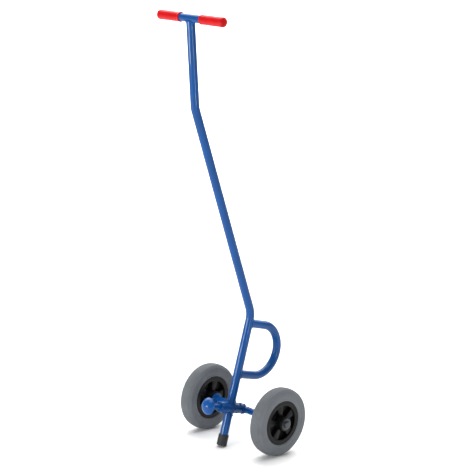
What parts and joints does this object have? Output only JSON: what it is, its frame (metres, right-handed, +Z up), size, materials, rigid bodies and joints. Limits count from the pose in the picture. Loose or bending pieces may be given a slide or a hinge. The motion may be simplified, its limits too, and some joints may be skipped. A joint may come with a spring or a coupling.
{
  "type": "hand truck",
  "caption": "Two-wheeled lever truck: a bent blue tube with a red-gripped T-handle, a support loop, a rubber foot and a domed coupling head in front of the axle.",
  "frame": {"origin": "on the floor, in the middle of the truck's bounding box seen from above", "axes": "+Z up, +X along the axle to the right wheel, the coupling head points to -Y and the support loop to +Y"},
  "size_m": [0.3706, 0.4341, 1.2603],
  "materials": {
    "frame_paint": "gloss",
    "grip_vinyl": "gloss",
    "foot_rubber": "matte",
    "tyre_rubber": "matte",
    "rim_plastic": "satin",
    "zinc_steel": "satin",
    "cage_plastic": "matte",
    "roller_steel": "satin"
  },
  "bodies": {
    "frame": {"main_tube": "frame_paint", "crossbar": "frame_paint", "left_grip": "grip_vinyl", "right_grip": "grip_vinyl", "support_loop": "frame_paint", "foot_cap": "foot_rubber", "coupling_boss": "frame_paint", "coupling_head": "frame_paint", "axle_stub": "frame_paint", "axle": "frame_paint", "left_collar": "frame_paint", "right_collar": "frame_paint", "left_inner_washer": "zinc_steel", "right_inner_washer": "zinc_steel", "left_outer_washer": "zinc_steel", "right_outer_washer": "zinc_steel", "left_axle_cap": "zinc_steel", "right_axle_cap": "zinc_steel"},
    "left_wheel": {"left_tyre": "tyre_rubber", "left_rim": "rim_plastic"},
    "right_wheel": {"right_tyre": "tyre_rubber", "right_rim": "rim_plastic"},
    "left_bearing": {"left_bearing_cage": "cage_plastic", "left_bearing_rollers": "roller_steel"},
    "right_bearing": {"right_bearing_cage": "cage_plastic", "right_bearing_rollers": "roller_steel"}
  },
  "joints": [
    {"name": "left_wheel_spin", "type": "hinge", "parent": "frame", "child": "left_wheel", "pos_m": [-0.145, 0.07111, 0.1], "axis": [1, 0, 0], "continuous": true},
    {"name": "right_wheel_spin", "type": "hinge", "parent": "frame", "child": "right_wheel", "pos_m": [0.145, 0.07111, 0.1], "axis": [1, 0, 0], "continuous": true},
    {"name": "left_bearing_spin", "type": "hinge", "parent": "frame", "child": "left_bearing", "pos_m": [-0.145, 0.07111, 0.1], "axis": [1, 0, 0], "continuous": true},
    {"name": "right_bearing_spin", "type": "hinge", "parent": "frame", "child": "right_bearing", "pos_m": [0.145, 0.07111, 0.1], "axis": [1, 0, 0], "continuous": true}
  ],
  "couplings": [
    {"joint": "left_bearing_spin", "follows": "left_wheel_spin", "ratio": 0.6},
    {"joint": "right_bearing_spin", "follows": "right_wheel_spin", "ratio": 0.6}
  ]
}
